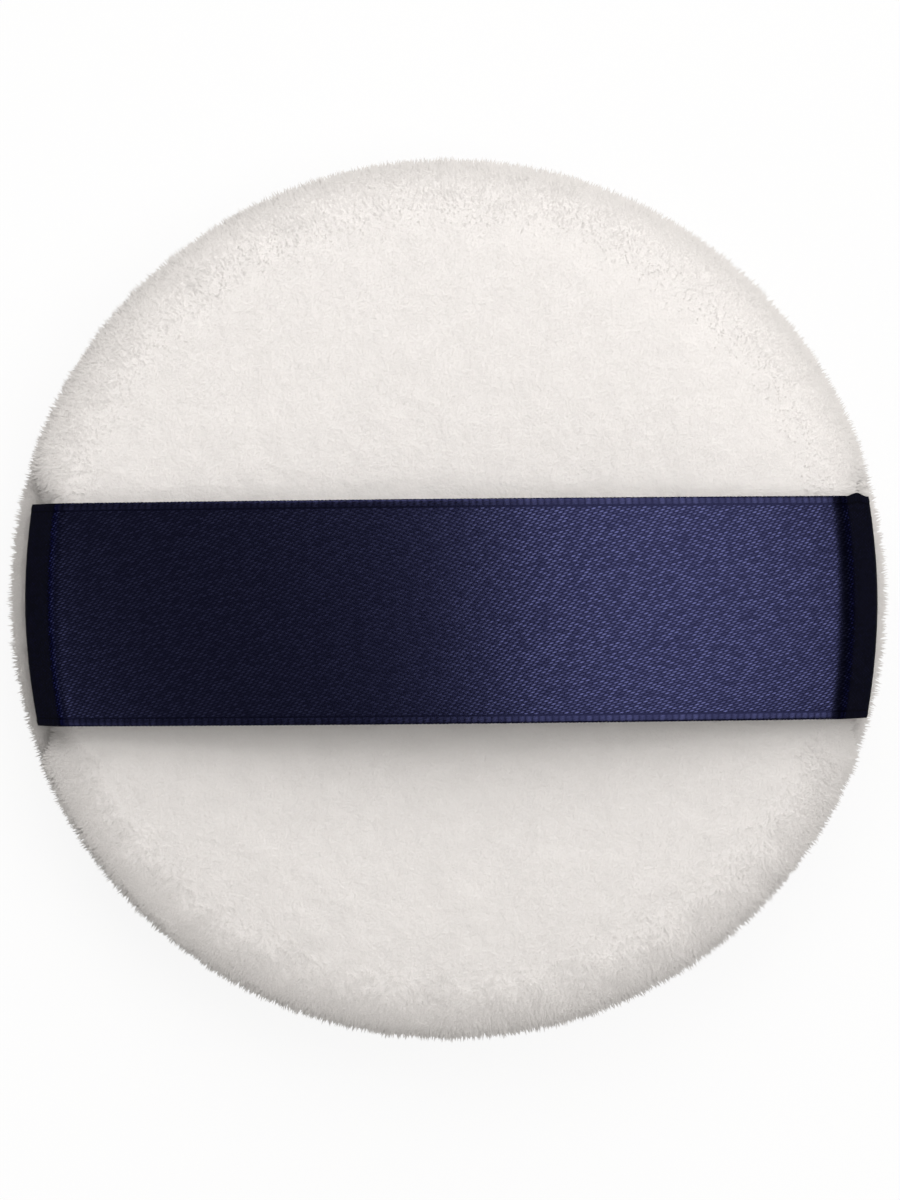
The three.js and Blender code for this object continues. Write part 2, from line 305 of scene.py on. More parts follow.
@dataclass(frozen=True)
class SatinFinish:
    """Navy satin ribbon: long warp floats on slanting rows, between two woven selvedges."""

    dark: Colour = (0.0102, 0.0108, 0.0302)
    light: Colour = (0.064, 0.069, 0.163)
    lowest_tone: float = 0.25
    float_length: float = 0.58 * MM
    float_pitch: float = 0.22 * MM
    float_shift: float = -0.38
    float_slope: float = 0.25
    relief: float = 0.012 * MM
    bead_pitch: float = 0.62 * MM
    bead_gap: float = 0.2 * MM
    bead_lowest: float = 0.4
    bead_shine: float = 0.35
    bead_relief: float = 0.6
    fold_width: float = 1.3 * MM
    # Share of black painted as shade at a fold.
    painted_fold_shade: float = 0.65
    left_fold_share: float = 0.4
    smooth: float = 0.2
    rough: float = 0.36
    lowest_smooth: float = 0.75
    metallic: float = 0.88
    refraction: float = 1.05
    edge_tint: Colour = BLACK

    def _beads(self, graph: Graph, along: Wire) -> Wire:
        """Add the row of beads of a selvedge, each with its own tone.

        Args:
            graph: Graph of the material.
            along: Place along the ribbon, in millimetres.

        Returns:
            The beads' height, from 0 to 1.
        """
        place = along * (MM / self.bead_pitch)
        which = graph.math("FLOOR", place)
        tone = graph.node("ShaderNodeTexWhiteNoise", {"noise_dimensions": "1D"}, {"W": which}, "Value")
        return hump(graph.math("FRACT", place)) * spread(tone, self.bead_lowest)

    def _folds(self, graph: Graph, along: Wire, folds: tuple[float, float]) -> Wire:
        """Paint shade on the ribbon near its two folds, less near the left one.

        Args:
            graph: Graph of the material.
            along: Place along the ribbon, in millimetres.
            folds: Where the middle of the ribbon's length is, and how far from it the folds are.

        Returns:
            The share of black that paints the shade.
        """
        middle, distance = folds
        off_middle = along - middle / MM
        off_fold = graph.math("ABSOLUTE", graph.math("ABSOLUTE", off_middle) - distance / MM)
        reach = {"From Min": 0.0, "From Max": self.fold_width / MM}
        shade = graph.node(
            "ShaderNodeMapRange", {"interpolation_type": "SMOOTHSTEP"},
            {"Value": off_fold, **reach, "To Min": self.painted_fold_shade, "To Max": 0.0},
        )
        return shade * spread(graph.math("GREATER_THAN", off_middle, 0.0), self.left_fold_share)

    def material(
        self, half_width: float, selvedge: float, folds: tuple[float, float], ribbon_map: str
    ) -> bpy.types.Material:
        """Make the ribbon's finish.

        Args:
            half_width: Half of the ribbon's width.
            selvedge: Width of a selvedge.
            folds: Where the middle of the ribbon's length is, and how far from it the folds are.
            ribbon_map: Name of the map that runs along and across the ribbon, in millimetres.

        Returns:
            The material.
        """
        material, graph = new_material("Navy satin")
        along, across, _ = graph.split(graph.node("ShaderNodeUVMap", {"uv_map": ribbon_map}))
        row_place = (across - along * self.float_slope) * (MM / self.float_pitch)
        row = graph.math("FLOOR", row_place)
        float_place = along * (MM / self.float_length) + row * self.float_shift
        which = graph.joined(X=graph.math("FLOOR", float_place), Y=row)
        tone = graph.node("ShaderNodeTexWhiteNoise", {"noise_dimensions": "2D"}, {"Vector": which}, "Value")
        weave = hump(graph.math("FRACT", row_place)) * hump(graph.math("FRACT", float_place))
        edge = graph.math("ABSOLUTE", across) - (half_width - selvedge) / MM
        body = graph.math("LESS_THAN", edge, -self.bead_gap / MM)
        beads = self._beads(graph, along) * graph.math("GREATER_THAN", edge, 0.0)
        shine = weave * weave * spread(tone, self.lowest_tone) * body + beads * self.bead_shine
        smoothed = weave * spread(tone, self.lowest_smooth)
        satin = graph.mix(shine, self.dark, self.light)
        finish_surface(graph, {
            # Painted shade: the base colour goes towards black near the folds.
            "Base Color": graph.mix(self._folds(graph, along, folds), satin, BLACK),
            "Roughness": self.rough + smoothed * (self.smooth - self.rough),
            "Metallic": self.metallic,
            "IOR": self.refraction,
            "Specular Tint": self.edge_tint,
            "Normal": graph.bump(weave * body + beads * self.bead_relief, self.relief),
        })
        return material


@dataclass(frozen=True)
class ThreadFinish:
    """Spun sewing thread with its ply turning round it."""

    name: str
    colour: Colour
    ply_size: float = 2.1 * MM
    ply_waver: float = 1.5
    ply_share: float = 0.6
    ply_relief: float = 0.06 * MM
    fuzz_size: float = 0.14 * MM
    dark_share: float = 0.7
    roughness: float = 0.75
    sheen: float = 0.2

    def material(self) -> bpy.types.Material:
        """Make the thread's finish.

        Returns:
            The material.
        """
        material, graph = new_material(self.name)
        place = graph.coordinates()
        ply = graph.node(
            "ShaderNodeTexWave", {"bands_direction": "DIAGONAL"},
            {"Vector": place, "Scale": 1 / self.ply_size, "Distortion": self.ply_waver}, "Fac",
        )
        tone = ply * self.ply_share + graph.noise(place, self.fuzz_size) * (1 - self.ply_share)
        finish_surface(graph, {
            "Base Color": graph.mix(tone, darker(self.colour, self.dark_share), self.colour),
            "Roughness": self.roughness,
            "Sheen Weight": self.sheen,
            "Normal": graph.bump(ply, self.ply_relief),
        })
        return material


@dataclass(frozen=True)
class FillingFinish:
    """Foam or wadding: soft cells or fibres of a given size."""

    name: str
    colour: Colour
    grain: float
    relief: float
    cloud_grains: float = 6.0
    cell_share: float = 0.6
    dark_share: float = 0.78
    roughness: float = 0.95

    def material(self) -> bpy.types.Material:
        """Make the filling's finish.

        Returns:
            The material.
        """
        material, graph = new_material(self.name)
        place = graph.coordinates()
        cells = graph.node(
            "ShaderNodeTexVoronoi", {}, {"Vector": place, "Scale": 1 / self.grain}, "Distance"
        )
        cloud = graph.noise(place, self.grain * self.cloud_grains)
        tone = cells * self.cell_share + cloud * (1 - self.cell_share)
        finish_surface(graph, {
            "Base Color": graph.mix(tone, darker(self.colour, self.dark_share), self.colour),
            "Roughness": self.roughness,
            "Normal": graph.bump(cells, self.relief),
        })
        return material


class Side(Enum):
    """The two sides of the puff, which lies on its face."""

    BACK = 1.0
    FACE = -1.0

    @property
    def label(self) -> str:
        """Give the side's name in lower case."""
        return self.name.lower()


class PileZone(Enum):
    """The two stretches of a cover whose tips are separate pieces."""

    CROWN = "crown"
    RIM = "rim"


def linked(name: str, data: bpy.types.ID) -> bpy.types.Object:
    """Put a mesh, a lamp or a camera in the scene as an object at the origin.

    Args:
        name: Name of the object and of its data.
        data: The mesh, lamp or camera.

    Returns:
        The object.
    """
    data.name = name
    piece = bpy.data.objects.new(name, data)
    bpy.context.scene.collection.objects.link(piece)
    return piece


def built(name: str, shape: bmesh.types.BMesh) -> bpy.types.Object:
    """Turn a bmesh into a smooth-shaded object.

    Args:
        name: Name of the object.
        shape: The bmesh, which is freed.

    Returns:
        The object.
    """
    mesh = bpy.data.meshes.new(name)
    shape.to_mesh(mesh)
    shape.free()
    mesh.shade_smooth()
    return linked(name, mesh)


def settled_mesh(piece: bpy.types.Object) -> bpy.types.Mesh:
    """Give a copy of a piece's mesh with its modifiers applied."""
    graph = bpy.context.evaluated_depsgraph_get()
    return bpy.data.meshes.new_from_object(piece.evaluated_get(graph), depsgraph=graph)


def settle(piece: bpy.types.Object) -> None:
    """Apply a piece's modifiers to its own mesh.

    Args:
        piece: The piece.
    """
    mesh = settled_mesh(piece)
    old = piece.data
    piece.modifiers.clear()
    piece.data = mesh
    bpy.data.meshes.remove(old)
    mesh.name = piece.name


def dress(piece: bpy.types.Object, material: bpy.types.Material) -> None:
    """Give a piece one material."""
    piece.data.materials.clear()
    piece.data.materials.append(material)


def put_in_order(shape: bmesh.types.BMesh) -> None:
    """Order a shape's edges and faces by their vertices, because a merge leaves that to chance.

    Args:
        shape: The shape, whose simulated cloth and pile depend on that order.
    """
    shape.verts.index_update()
    count = len(shape.verts)
    for elements in (shape.edges, shape.faces):
        elements.sort(key=lambda each: sum(
            place * count ** -power
            for power, place in enumerate(sorted(vertex.index for vertex in each.verts)[:3])
        ))


def spun(points: Sequence[Vector], steps: int) -> bmesh.types.BMesh:
    """Turn an outline in the XZ plane once round the Z axis.

    Args:
        points: The outline, which starts on the axis.
        steps: Number of steps round the axis.

    Returns:
        The turned surface, with one vertex at its pole.
    """
    shape = bmesh.new()
    line = [shape.verts.new(point) for point in points]
    edges = [shape.edges.new(pair) for pair in zip(line, line[1:])]
    bmesh.ops.spin(
        shape, geom=[*line, *edges], cent=(0, 0, 0), axis=(0, 0, 1),
        angle=math.tau, steps=steps, use_merge=True,
    )
    bmesh.ops.remove_doubles(shape, verts=shape.verts, dist=MERGE_DISTANCE)
    bmesh.ops.recalc_face_normals(shape, faces=shape.faces)
    put_in_order(shape)
    return shape


def quarter(steps: int) -> list[float]:
    """Give the angles of a quarter turn in equal steps."""
    return [math.pi / 2 * step / steps for step in range(steps + 1)]


def ease(value: float) -> float:
    """Clamp a value to 0..1 and smooth its two ends."""
    clamped = min(max(value, 0.0), 1.0)
    return clamped * clamped * (3 - 2 * clamped)


@dataclass(frozen=True)
class PuffForm:
    """Sizes of the sewn puff, read from the frame where its boxes show them."""

    radius: float
    seam_height: float
    heights: dict[Side, float]
    bulges: dict[Side, float] = field(
        default_factory=lambda: {Side.BACK: 2.2 * MM, Side.FACE: 2.0 * MM}
    )
    fullness: dict[Side, float] = field(default_factory=lambda: {Side.BACK: 2.6, Side.FACE: 2.3})
    flats: dict[Side, float] = field(default_factory=lambda: {Side.BACK: 0.0, Side.FACE: 23 * MM})
    seam_radius: float = 38.2 * MM
    raw_edge_radius: float = 33.15 * MM
    seam_gap: float = 0.15 * MM

    @classmethod
    def from_frame(cls) -> "PuffForm":
        """Read the puff's sizes from the boxes of its two covers.

        Returns:
            The form.
        """
        back_low, back_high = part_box("back_cover")
        face_low, face_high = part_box("face_cover")
        seam_height = (back_low.z + face_high.z) / 2
        heights = {Side.BACK: back_high.z - seam_height, Side.FACE: seam_height - face_low.z}
        return cls(radius=face_high.x, seam_height=seam_height, heights=heights)

    def crown(self, side: Side, rim_inset: float, sunk: float, steps: int) -> list[Vector]:
        """Work out a cover's section from its pole to its widest line.

        Args:
            side: The cover's side.
            rim_inset: How far the section's widest line lies inside the puff's edge.
            sunk: How far the section's pole lies below the pile's surface.
            steps: Number of steps along the section.

        Returns:
            The points, in the XZ plane.
        """
        flat, bulge = self.flats[side], self.bulges[side]
        reach = self.radius - rim_inset - flat
        rise = self.heights[side] - sunk - bulge
        points = [Vector((0.0, 0.0, self.seam_height + side.value * (bulge + rise)))] if flat else []
        for angle in quarter(steps):
            across = flat + reach * math.sin(angle) ** (2 / self.fullness[side])
            height = bulge + rise * math.cos(angle)
            points.append(Vector((across, 0.0, self.seam_height + side.value * height)))
        return points


@dataclass(frozen=True)
class FingerStrap:
    """Satin ribbon that arches over the back and is sewn into the seam at both ends."""

    form: PuffForm
    top: float
    satin: SatinFinish = SatinFinish()
    width: float = 20 * MM
    thickness: float = 0.4 * MM
    rise: float = 6.3 * MM
    crease_inset: float = 3.6 * MM
    side_inset: float = 0.8 * MM
    foot_height: float = 2.1 * MM
    crease_round: float = 1.2 * MM
    foot_round: float = 0.9 * MM
    shift: float = 0.3 * MM
    offset: float = -1.1 * MM
    turn: float = math.radians(0.55)
    selvedge: float = 0.55 * MM
    selvedge_rise: float = 0.04 * MM
    selvedge_columns: tuple[float, ...] = (0.0, 0.12 * MM, 0.35 * MM, 0.55 * MM, 0.7 * MM)
    inner_columns: tuple[float, ...] = (0.8, 0.6, 0.4, 0.2)
    bead_pitch: float = 0.7 * MM
    bead_depth: float = 0.03 * MM
    bead_width: float = 0.05 * MM
    bead_steps: int = 4
    arch_steps: int = 90
    corner_steps: int = 8
    cupping: float = 0.12 * MM
    gather: float = 0.3 * MM
    gather_place: float = 3.8 * MM
    gather_length: float = 2.6 * MM
    gather_width: float = 1.6 * MM
    free_follow: float = 0.55
    still_height: float = 7.7 * MM
    follow_margin: float = 0.8 * MM
    ribbon_map: str = "RibbonWeave"

    @classmethod
    def from_frame(cls, form: PuffForm) -> "FingerStrap":
        """Read the height of the ribbon's centre line at the middle of its arch from its box."""
        return cls(form, top=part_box("finger_strap")[1].z - cls.thickness / 2)

    @property
    def crease(self) -> Vector:
        """Give the corner at which the arch turns down, on the right."""
        return Vector((self.form.radius - self.crease_inset, self.top - self.rise))

    @property
    def foot(self) -> Vector:
        """Give the corner above the seam at which the right end stands upright."""
        return Vector((self.form.radius - self.side_inset, self.form.seam_height + self.foot_height))

    def half_line(self) -> list[Vector]:
        """Work out the centre line from the middle of the arch to the end of the right tail.

        Returns:
            Points (x, z) a fraction of a millimetre apart.
        """
        crease, foot = self.crease, self.foot
        seam = Vector((foot.x, self.form.seam_height))
        tail = Vector((self.form.raw_edge_radius, self.form.seam_height))
        shares = [step / self.arch_steps for step in range(self.arch_steps + 1)]
        arch = [Vector((crease.x * share, self.top - self.rise * share ** 2)) for share in shares]
        line = [point for point in arch if (point - crease).length > self.crease_round]
        rounds = (self.crease_round, self.foot_round, self.foot_round)
        for corner, after, round_off in zip((crease, foot, seam), (foot, seam, tail), rounds):
            before = corner + (line[-1] - corner).normalized() * round_off
            beyond = corner + (after - corner).normalized() * round_off
            line += [
                before.lerp(corner, share).lerp(corner.lerp(beyond, share), share)
                for share in (step / self.corner_steps for step in range(self.corner_steps + 1))
            ]
        return line + [tail]

    def centre_line(self) -> list[Vector]:
        """Give the whole centre line, from the left tail to the right one."""
        right = self.half_line()
        return [Vector((-point.x, point.y)) for point in reversed(right[1:])] + right

    @staticmethod
    def lengths(line: Sequence[Vector]) -> list[float]:
        """Give the length along a line up to each of its points."""
        steps = ((end - start).length for start, end in zip(line, line[1:]))
        return list(accumulate(steps, initial=0.0))

    def fold_length(self) -> float:
        """Give the length from the middle of the arch to the fold at which it turns down."""
        right = self.half_line()
        return min(zip(right, self.lengths(right)), key=lambda pair: (pair[0] - self.crease).length)[1]

    def columns(self) -> list[float]:
        """Space the mesh's columns, which are closest at the selvedges.

        Returns:
            Their places across the ribbon.
        """
        half = self.width / 2
        right = [half - inset for inset in self.selvedge_columns]
        right += [half * share for share in self.inner_columns]
        return [-place for place in right] + [0.0] + list(reversed(right))

    def lift(self, across: float) -> float:
        """Give how far the ribbon's surface stands off its centre line at a place across it."""
        bead = math.sin(math.pi * min((self.width / 2 - abs(across)) / self.selvedge, 1.0))
        return self.selvedge_rise * bead - self.cupping * (2 * across / self.width) ** 2

    def drawn_in(self, across: float) -> float:
        """Give the share of its length that the round seam takes from the ribbon at a place across it."""
        sewn = across + self.offset
        return 1 - math.sqrt(max(1 - (sewn / self.form.seam_radius) ** 2, 0.0))

    def gathered(self, across: float, past_fold: float) -> float:
        """Push the ribbon's upper edge out a little where it was gathered below the right fold.

        Args:
            across: Place across the ribbon.
            past_fold: Distance along the ribbon from the right fold.

        Returns:
            The new place across the ribbon.
        """
        near_fold = ease(1 - abs(past_fold - self.gather_place) / self.gather_length)
        near_edge = ease(1 - (self.width / 2 - across) / self.gather_width)
        return across + self.gather * near_fold * near_edge

    def placed(self, point: Vector, across: float, along: float) -> Vector:
        """Place a point of the ribbon on the puff.

        Args:
            point: Place in the ribbon's lengthwise section.
            across: Place across the ribbon.
            along: Place along the ribbon, for the beads of its edge.

        Returns:
            The place in the frame.
        """
        beads = math.sin(math.tau * along / self.bead_pitch) * self.bead_depth
        at_edge = abs(across) > self.width / 2 - self.bead_width
        edge = across + math.copysign(beads, across) * at_edge
        free = ease((point.y - self.form.seam_height) / self.foot_height)
        follow = 1 - self.drawn_in(across) * (1 + (self.free_follow - 1) * free)
        flat = Vector((point.x * follow + self.shift, edge + self.offset, point.y))
        return Matrix.Rotation(self.turn, 3, "Z") @ flat

    def flat_place(self, place: Vector) -> Vector:
        """Give a place of the frame in the ribbon's own directions, with its middle at the origin."""
        turned = Matrix.Rotation(-self.turn, 3, "Z") @ place
        return Vector((turned.x - self.shift, turned.y - self.offset, turned.z))

    def inner_face(self, place: Vector) -> float:
        """Find the inner face of the ribbon's turned-down end.

        Args:
            place: A place in the frame, whose height and place across the ribbon count.

        Returns:
            How far out the face lies there, from the ribbon's middle along its length.
        """
        crease, foot = self.crease, self.foot
        lean = min(max((place.z - foot.y) / (crease.y - foot.y), 0.0), 1.0)
        outer = (foot.x + (crease.x - foot.x) * lean) * (1 - self.drawn_in(self.flat_place(place).y))
        return outer - self.thickness / 2

    def _bend(self, shape: bmesh.types.BMesh, fold: float) -> None:
        """Map a flat grid as the ribbon, then bend it over the puff.

        Args:
            shape: A grid from -1 to 1 both ways, with the ribbon's columns.
            fold: Length from the middle of the arch to its fold.
        """
        line = self.centre_line()
        lengths = self.lengths(line)
        whole = lengths[-1]
        columns = self.columns()
        ribbon_map = shape.loops.layers.uv.new(self.ribbon_map)
        flat = {
            vertex: (
                (vertex.co.x + 1) / 2 * whole,
                columns[round((vertex.co.y + 1) / 2 * (len(columns) - 1))],
            )
            for vertex in sorted(shape.verts, key=lambda each: each.co.x)
        }
        for face in shape.faces:
            for corner in face.loops:
                corner[ribbon_map].uv = [length / MM for length in flat[corner.vert]]
        segment = 0
        for vertex, (place, across) in flat.items():
            along = min(max(place, 0.0), whole)
            while segment < len(line) - 2 and lengths[segment + 1] < along:
                segment += 1
            start, end = line[segment], line[segment + 1]
            share = (along - lengths[segment]) / (lengths[segment + 1] - lengths[segment])
            direction = (end - start).normalized()
            out = Vector((-direction.y, direction.x))
            point = start.lerp(end, share) + out * self.lift(across)
            vertex.co = self.placed(point, self.gathered(across, along - whole / 2 - fold), along)

    def build(self) -> bpy.types.Object:
        """Model the ribbon, bend it over the puff and dress it.

        Returns:
            The ribbon.
        """
        whole = self.lengths(self.centre_line())[-1]
        fold = self.fold_length()
        shape = bmesh.new()
        bmesh.ops.create_grid(
            shape, x_segments=round(whole / (self.bead_pitch / self.bead_steps)),
            y_segments=len(self.columns()) - 1, size=1.0, calc_uvs=False,
        )
        self._bend(shape, fold)
        shape.normal_update()
        strap = built("finger_strap_ribbon", shape)
        wall = strap.modifiers.new("Thickness", "SOLIDIFY")
        wall.thickness = self.thickness
        wall.offset = 0.0
        settle(strap)
        folds = (whole / 2, fold)
        dress(strap, self.satin.material(self.width / 2, self.selvedge, folds, self.ribbon_map))
        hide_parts("finger_strap")
        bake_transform(strap)
        return strap


@dataclass(frozen=True)
class FillingPressure:
    """Cloth settings with which the filling swells a cover."""

    scale: float = 25.0
    frames: int = 20
    quality: int = 6
    pressure: float = 4.0
    vertex_mass: float = 0.02
    slack: float = 0.025
    reach: float = 0.8 * MM

    def swell(self, sheet: bpy.types.Object, sewn: str) -> None:
        """Swell a cover with Blender's cloth, and keep each point within reach of its place.

        Args:
            sheet: The cover's surface.
            sewn: Vertex group that the seam holds.
        """
        rest = [vertex.co.copy() for vertex in sheet.data.vertices]
        sheet.data.transform(Matrix.Scale(self.scale, 4))
        cloth = sheet.modifiers.new("Filling pressure", "CLOTH")
        settings = cloth.settings
        settings.mass = self.vertex_mass
        settings.quality = self.quality
        settings.use_pressure = True
        settings.uniform_pressure_force = self.pressure
        settings.vertex_group_mass = sewn
        settings.shrink_min = -self.slack
        settings.effector_weights.gravity = 0.0
        cloth.point_cache.frame_end = self.frames
        scene = bpy.context.scene
        for moment in range(1, self.frames + 1):
            scene.frame_set(moment)
        swollen = settled_mesh(sheet)
        moved = [vertex.co / self.scale for vertex in swollen.vertices]
        sheet.modifiers.clear()
        bpy.data.meshes.remove(swollen)
        scene.frame_set(1)
        for vertex, start, end in zip(sheet.data.vertices, rest, moved):
            step = end - start
            if step.length > self.reach:
                step = step.normalized() * self.reach
            vertex.co = start + step
        sheet.data.update()


@dataclass(frozen=True)
class VelourPile:
    """Loose tips of the pile: thin closed spikes that lean with their clump."""

    spacing: float
    length: float
    width: float
    clump_lean: float
    loose_lean: float
    sizes: tuple[float, float] = (0.55, 1.15)
    tones: tuple[float, float] = (0.68, 0.80)
    tufts: tuple[float, float] = (0.35, 0.62)
    clump_tone: float = 0.35
    clump_size: float = 1.8 * MM
    clump_detail: float = 1.0
    # Painted shade: how much darker the tips get at the puff's edge and in the seam's groove.
    painted_edge_shade: float = 0.47
    inner_tone: float = 0.0
    density: float = 30e6
    up_facing: float = 0.45
    own_facing: float = 0.05
    floor: float = 0.02 * MM
    map_start: float = 0.05
    map_span: float = 0.9
    map_side: float = 0.02

    @staticmethod
    def _random(graph: Graph, low: Any, high: Any, seed: int, kind: str = "FLOAT") -> Wire:
        """Add a random value for each tip, between two limits."""
        inputs = {"Min": low, "Max": high, "Seed": seed}
        return graph.node("FunctionNodeRandomValue", {"data_type": kind}, inputs)

    @staticmethod
    def _named(graph: Graph, name: str, kind: str = "FLOAT") -> Wire:
        """Read a stored value."""
        settings = {"data_type": kind}
        return graph.node("GeometryNodeInputNamedAttribute", settings, {"Name": name}, "Attribute")

    @staticmethod
    def _store(
        graph: Graph, geometry: Wire, name: str, value: Wire, domain: str, kind: str = "FLOAT"
    ) -> Wire:
        """Store a named value on each element of a domain of some geometry."""
        inputs = {"Geometry": geometry, "Name": name, "Value": value}
        return graph.node("GeometryNodeStoreNamedAttribute", {"data_type": kind, "domain": domain}, inputs)

    def _tip(self, graph: Graph) -> Wire:
        """Add one closed spike of unit size, which knows its length and its sides.

        Args:
            graph: Graph of the pile.

        Returns:
            The spike.
        """
        sizes = {"Vertices": 3, "Radius Top": 0.0, "Radius Bottom": 1.0, "Depth": 1.0}
        spike = graph.node("GeometryNodeMeshCone", {"fill_type": "NGON"}, sizes, "Mesh")
        across, _, along = graph.split(graph.node("GeometryNodeInputPosition"))
        spike = self._store(graph, spike, "along", along * self.map_span + self.map_start, "POINT")
        return self._store(graph, spike, "side", across * self.map_side, "POINT")

    def _rotation(self, graph: Graph, normal: Wire, clump: Wire, seed: int) -> Wire:
        """Lean each tip with its clump and a little by itself.

        Args:
            graph: Graph of the pile.
            normal: The ground's normal.
            clump: Colour of the clumps' pattern.
            seed: Seed of everything that varies.

        Returns:
            The tips' rotation.
        """
        half = (0.5, 0.5, 0.5)
        clump_way = graph.node("ShaderNodeVectorMath", {"operation": "SUBTRACT"}, {0: clump, 1: half})
        loose_way = self._random(graph, (-0.5, -0.5, -0.5), half, seed + 1, "FLOAT_VECTOR")
        way = normal + clump_way * self.clump_lean + loose_way * self.loose_lean
        spin = graph.joined(Z=self._random(graph, 0.0, math.tau, seed + 2))
        turned = graph.node("FunctionNodeEulerToRotation", {}, {"Euler": spin})
        inputs = {"Rotation": turned, "Vector": way}
        return graph.node("FunctionNodeAlignRotationToVector", {"axis": "Z"}, inputs)

    def _tone(self, graph: Graph, clump: Wire, grown: Wire, seed: int) -> Wire:
        """Give each tip a tone, in part its clump's, with painted shade towards the puff's edge and in the
        seam's groove.

        Args:
            graph: Graph of the pile.
            clump: Value of the clumps' pattern.
            grown: How densely tips grow.
            seed: Seed of everything that varies.

        Returns:
            The tone, from 0 to 1.
        """
        low, high = self.tones
        loose = self._random(graph, low, high, seed + 4)
        least, most = self.tufts
        tuft = graph.node(
            "ShaderNodeMapRange", {},
            {"Value": clump, "From Min": least, "From Max": most, "To Min": low, "To Max": high},
        )
        tone = loose * (1 - self.clump_tone) + tuft * self.clump_tone
        tone = tone + (1 - grown) * self.inner_tone
        # Painted shade: tips near the edge and in the seam's groove get a darker tone.
        return tone * (1 - self._named(graph, EDGE) * self.painted_edge_shade)

    def _shaded(self, graph: Graph, tips: Wire) -> Wire:
        """Give the tips the normals of the ground, turned upwards.

        Args:
            graph: Graph of the pile.
            tips: The tips.

        Returns:
            The tips with these normals.
        """
        ground = self._named(graph, "ground", "FLOAT_VECTOR")
        steep = graph.math("MINIMUM", graph.split(ground)[2] + 1, 1.0)
        up = graph.joined(Z=steep * self.up_facing)
        facing = ground + graph.node("GeometryNodeInputNormal") * self.own_facing + up
        settings = {"mode": "FREE", "domain": "CORNER"}
        inputs = {"Mesh": tips, "Custom Normal": facing}
        return graph.node("GeometryNodeSetMeshNormal", settings, inputs)

    def tree(self, zone: PileZone, seed: int) -> bpy.types.NodeTree:
        """Make the nodes that grow the tips on a cover's surface.

        Args:
            zone: Stretch of the cover, whose attribute says where tips grow.
            seed: Seed of everything that varies.

        Returns:
            The node tree.
        """
        graph = Graph(bpy.data.node_groups.new("Velour pile", "GeometryNodeTree"))
        for way in ("INPUT", "OUTPUT"):
            graph.tree.interface.new_socket("Geometry", in_out=way, socket_type="NodeSocketGeometry")
        surface = graph.node("NodeGroupInput", output="Geometry")
        grown = self._named(graph, zone.value)
        roots = graph.node(
            "GeometryNodeDistributePointsOnFaces", {"distribute_method": "POISSON"},
            {
                "Mesh": surface, "Distance Min": self.spacing, "Density Max": self.density,
                "Density Factor": grown, "Seed": seed,
            },
            "Points",
        )
        normal = roots.out("Normal")
        place = graph.node("GeometryNodeInputPosition")
        pattern = {"Vector": place, "Scale": 1 / self.clump_size, "Detail": self.clump_detail}
        clump = graph.node("ShaderNodeTexNoise", {}, pattern, "Color")
        size = self._random(graph, *self.sizes, seed + 3) * self._named(graph, REACH)
        tips = graph.node("GeometryNodeInstanceOnPoints", {}, {
            "Points": roots,
            "Instance": self._tip(graph),
            "Rotation": self._rotation(graph, normal, clump, seed),
            "Scale": graph.joined(X=self.width, Y=self.width, Z=size * self.length),
        })
        tone = self._tone(graph, clump.out("Fac"), grown, seed)
        tips = self._store(graph, tips, "tone", tone, "INSTANCE")
        tips = self._store(graph, tips, "ground", normal, "INSTANCE", "FLOAT_VECTOR")
        tips = graph.node("GeometryNodeRealizeInstances", {}, {"Geometry": tips})
        tips = self._shaded(graph, tips)
        side_tone = self._named(graph, "tone") + self._named(graph, "side")
        bake_place = graph.joined(X=side_tone, Y=self._named(graph, "along"))
        tips = self._store(graph, tips, BAKE_MAP, bake_place, "CORNER", "FLOAT2")
        east, north, height = graph.split(place)
        above = graph.joined(X=east, Y=north, Z=graph.math("MAXIMUM", height, self.floor))
        tips = graph.node("GeometryNodeSetPosition", {}, {"Geometry": tips, "Position": above})
        graph.node("NodeGroupOutput", {}, {"Geometry": tips})
        return graph.tree

    def grow(self, sheet: bpy.types.Object, name: str, zone: PileZone, seed: int) -> bpy.types.Object:
        """Grow the tips of one stretch of a cover.

        Args:
            sheet: The cover's surface.
            name: Name of the new piece.
            zone: Stretch of the cover.
            seed: Seed of everything that varies.

        Returns:
            The tips as one mesh.
        """
        nodes = sheet.modifiers.new("Pile", "NODES")
        nodes.node_group = self.tree(zone, seed)
        mesh = settled_mesh(sheet)
        sheet.modifiers.remove(nodes)
        for attribute in ("tone", "along", "side", "ground"):
            mesh.attributes.remove(mesh.attributes[attribute])
        piece = linked(name, mesh)
        piece.visible_shadow = False
        return piece


